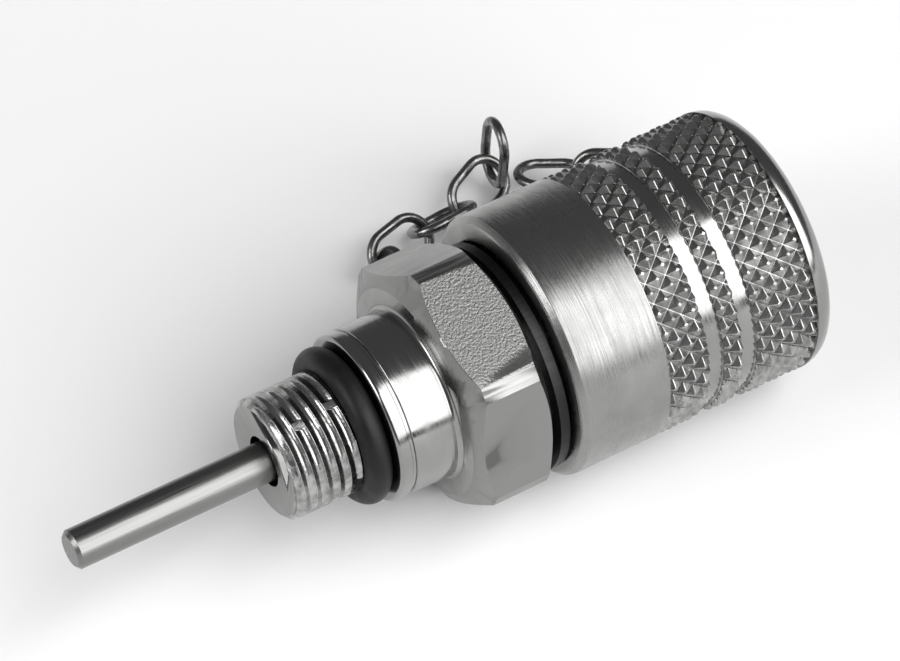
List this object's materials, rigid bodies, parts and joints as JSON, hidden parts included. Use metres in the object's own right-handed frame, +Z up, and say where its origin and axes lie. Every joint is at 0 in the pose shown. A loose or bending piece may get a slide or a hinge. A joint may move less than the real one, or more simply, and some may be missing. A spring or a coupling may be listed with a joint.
{
  "type": "test point coupling",
  "caption": "Hydraulic test point coupling with a threaded stud, hex, closed immersion tube and a knurled screw-on cap held by a wire chain.",
  "frame": {"origin": "centre of the stud's front face, on the coupling's axis", "axes": "+X along the coupling's axis from the stud to the cap, +Z up with the coupling lying on its side, chain on the +Y side"},
  "size_m": [0.0645, 0.0363, 0.0216],
  "materials": {
    "zinc_steel": "bright zinc-plated, machined",
    "plain_steel": "drawn and turned stainless steel",
    "spring_steel": "spring steel",
    "chain_steel": "plated wire, darker than the body",
    "seal_rubber": "matte nitrile rubber"
  },
  "bodies": {
    "coupling": {"coupling_body": "zinc_steel", "stud_o_ring": "seal_rubber", "valve_seat": "plain_steel", "insert_seal": "seal_rubber", "probe_seal": "seal_rubber", "retaining_ring": "spring_steel", "tube_guide": "plain_steel", "valve_spring": "spring_steel"},
    "valve": {"valve_poppet": "plain_steel", "poppet_seal": "seal_rubber", "immersion_tube": "plain_steel"},
    "rivet": {"cap_rivet": "zinc_steel", "rivet_washer": "zinc_steel"},
    "cap": {"protective_cap": "zinc_steel", "cap_gasket": "seal_rubber"},
    "neck_chain": {"neck_ring": "zinc_steel", "chain_link_01": "chain_steel", "chain_link_02": "chain_steel", "chain_link_03": "chain_steel", "chain_link_04": "chain_steel", "chain_link_05": "chain_steel", "chain_link_06": "chain_steel"},
    "cap_chain": {"swivel_eye": "zinc_steel", "chain_link_07": "chain_steel", "chain_link_08": "chain_steel", "chain_link_09": "chain_steel"}
  },
  "joints": [
    {"name": "cap_lift", "type": "slide", "parent": "coupling", "child": "rivet", "axis": [1, 0, 0], "range_m": [0, 0.022]},
    {"name": "cap_turn", "type": "hinge", "parent": "rivet", "child": "cap", "pos_m": [0, 0, 0], "axis": [1, 0, 0], "range_deg": [-10, 3970]},
    {"name": "chain_swing", "type": "hinge", "parent": "coupling", "child": "neck_chain", "pos_m": [0, 0, 0], "axis": [1, 0, 0], "range_deg": [0, 60]},
    {"name": "eye_swing", "type": "hinge", "parent": "rivet", "child": "cap_chain", "pos_m": [0, 0, 0], "axis": [1, 0, 0], "range_deg": [0, 60]},
    {"name": "valve_open", "type": "slide", "parent": "coupling", "child": "valve", "axis": [-1, 0, 0], "range_m": [0, 0.0015], "stiffness_N_per_m": 2000, "springref_m": -0.002, "deforming": ["valve_spring"]}
  ],
  "couplings": [
    {"joint": "cap_turn", "follows": "cap_lift", "rad_per_m": 3141.6}
  ]
}
